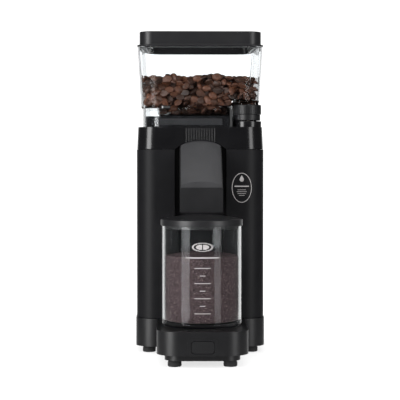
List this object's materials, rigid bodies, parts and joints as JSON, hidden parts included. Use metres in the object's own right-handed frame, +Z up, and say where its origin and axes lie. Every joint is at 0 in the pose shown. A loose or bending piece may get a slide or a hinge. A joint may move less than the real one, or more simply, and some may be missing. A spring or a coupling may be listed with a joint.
{
  "type": "burr coffee grinder",
  "caption": "Upright electric burr coffee grinder with a clear bean hopper on top, a grind knob, a chute over a tray and a clear jar for the ground coffee.",
  "frame": {"origin": "centre of the bounding box on the surface that the feet stand on", "axes": "+Z up, -Y the front, where the tray and the start button are, +X to the right seen from the front"},
  "size_m": [0.1384, 0.256, 0.3442],
  "materials": {
    "base_plastic": "moulded black ABS, semi gloss",
    "inner_plastic": "moulded black ABS, plain",
    "foot_rubber": "moulded rubber, dull",
    "screw_steel": "plated steel",
    "housing_plastic": "moulded black ABS, fine spark texture",
    "ring_plastic": "moulded black ABS, satin gloss",
    "chute_plastic": "moulded dark grey ABS, satin",
    "spout_plastic": "moulded black ABS, satin",
    "white_print": "white screen print",
    "zinc_steel": "zinc plated steel",
    "cast_alloy": "die cast alloy",
    "motor_iron": "laminated iron with varnished copper",
    "bearing_steel": "ground steel",
    "gear_brass": "machined brass",
    "gear_acetal": "natural acetal",
    "burr_steel": "hardened steel, ground edges",
    "knob_plastic": "moulded black ABS, satin",
    "board_laminate": "glass fibre laminate",
    "capacitor_film": "moulded film capacitor",
    "plunger_plastic": "red moulded plastic",
    "clear_plastic": "clear moulded plastic",
    "roast_beans": "roasted beans, slightly oily",
    "lid_plastic": "moulded black ABS, satin",
    "seal_silicone": "silicone",
    "jar_glass": "clear glass",
    "coffee_grounds": "medium ground coffee"
  },
  "bodies": {
    "housing": {"base": "base_plastic", "bottom_plate": "inner_plastic", "front_feet": "foot_rubber", "rear_feet": "foot_rubber", "bottom_screws": "screw_steel", "cord_gland": "foot_rubber", "body_shell": "housing_plastic", "top_ring": "ring_plastic", "top_deck": "ring_plastic", "hopper_collar": "ring_plastic", "knob_plinth": "ring_plastic", "deck_screws": "screw_steel", "chute_cover": "chute_plastic", "spout": "spout_plastic", "badge": "white_print", "frame_posts": "zinc_steel", "gearbox_plate": "cast_alloy", "chamber_pillars": "zinc_steel", "grinding_chamber": "cast_alloy", "motor_can": "zinc_steel", "motor_stator": "motor_iron", "motor_lower_bell": "cast_alloy", "motor_upper_bell": "cast_alloy", "motor_bearings": "bearing_steel", "motor_mounts": "foot_rubber", "lower_shaft_bearing": "bearing_steel", "upper_shaft_bearing": "bearing_steel", "knob_bush": "gear_brass", "control_board": "board_laminate", "capacitor": "capacitor_film", "hopper_switch": "inner_plastic", "button_bezel": "base_plastic", "switch_bracket": "zinc_steel", "start_switch": "inner_plastic"},
    "rotor": {"motor_rotor": "motor_iron", "motor_pinion": "gear_brass"},
    "burr_drive": {"burr_shaft": "bearing_steel", "large_gear": "gear_acetal", "sweeper_disc": "gear_acetal", "cone_burr": "burr_steel", "burr_nut": "screw_steel"},
    "upper_burr": {"burr_carrier": "gear_acetal", "ring_burr": "burr_steel"},
    "adjuster": {"adjusting_ring": "gear_acetal"},
    "grind_knob": {"knob": "knob_plastic", "knob_shaft": "gear_acetal"},
    "start_key": {"start_button": "knob_plastic", "button_spring": "screw_steel"},
    "plunger": {"switch_plunger": "plunger_plastic"},
    "bean_hopper": {"hopper": "clear_plastic", "hopper_skirt": "clear_plastic", "coffee_beans": "roast_beans"},
    "hopper_cover": {"hopper_lid": "lid_plastic", "lid_seal": "seal_silicone"},
    "coffee_jar": {"jar": "jar_glass", "jar_marks": "white_print", "jar_lid": "lid_plastic", "jar_seal": "seal_silicone", "ground_coffee": "coffee_grounds"}
  },
  "joints": [
    {"name": "motor_spin", "type": "hinge", "parent": "housing", "child": "rotor", "pos_m": [0, 0.091, 0.1], "axis": [0, 0, 1], "continuous": true},
    {"name": "burr_spin", "type": "hinge", "parent": "housing", "child": "burr_drive", "pos_m": [0, 0.06, 0.19], "axis": [0, 0, 1], "continuous": true},
    {"name": "ring_turn", "type": "hinge", "parent": "housing", "child": "adjuster", "pos_m": [0, 0.06, 0.2335], "axis": [0, 0, 1], "range_deg": [-30, 30]},
    {"name": "knob_turn", "type": "hinge", "parent": "housing", "child": "grind_knob", "pos_m": [0.051, 0.01578, 0.25], "axis": [0, 0, 1], "range_deg": [-151, 151]},
    {"name": "carrier_lift", "type": "slide", "parent": "housing", "child": "upper_burr", "axis": [0, 0, 1], "range_m": [-0.00026, 0.00026]},
    {"name": "button_press", "type": "slide", "parent": "housing", "child": "start_key", "axis": [0, 1, 0], "range_m": [0, 0.0022], "stiffness_N_per_m": 300, "springref_m": -0.003, "deforming": ["button_spring"]},
    {"name": "plunger_press", "type": "slide", "parent": "housing", "child": "plunger", "axis": [0, 1, 0], "range_m": [0, 0.0022]},
    {"name": "hopper_lift", "type": "slide", "parent": "housing", "child": "bean_hopper", "axis": [0, 0, 1], "range_m": [0, 0.06]},
    {"name": "lid_lift", "type": "slide", "parent": "bean_hopper", "child": "hopper_cover", "axis": [0, 0, 1], "range_m": [0, 0.05]},
    {"name": "jar_slide", "type": "slide", "parent": "housing", "child": "coffee_jar", "axis": [0, -1, 0], "range_m": [0, 0.13]}
  ],
  "couplings": [
    {"joint": "burr_spin", "follows": "motor_spin", "ratio": -0.24},
    {"joint": "knob_turn", "follows": "ring_turn", "ratio": -5},
    {"joint": "carrier_lift", "follows": "ring_turn", "m_per_rad": 0.00047746},
    {"joint": "plunger_press", "follows": "button_press", "ratio": 1}
  ]
}
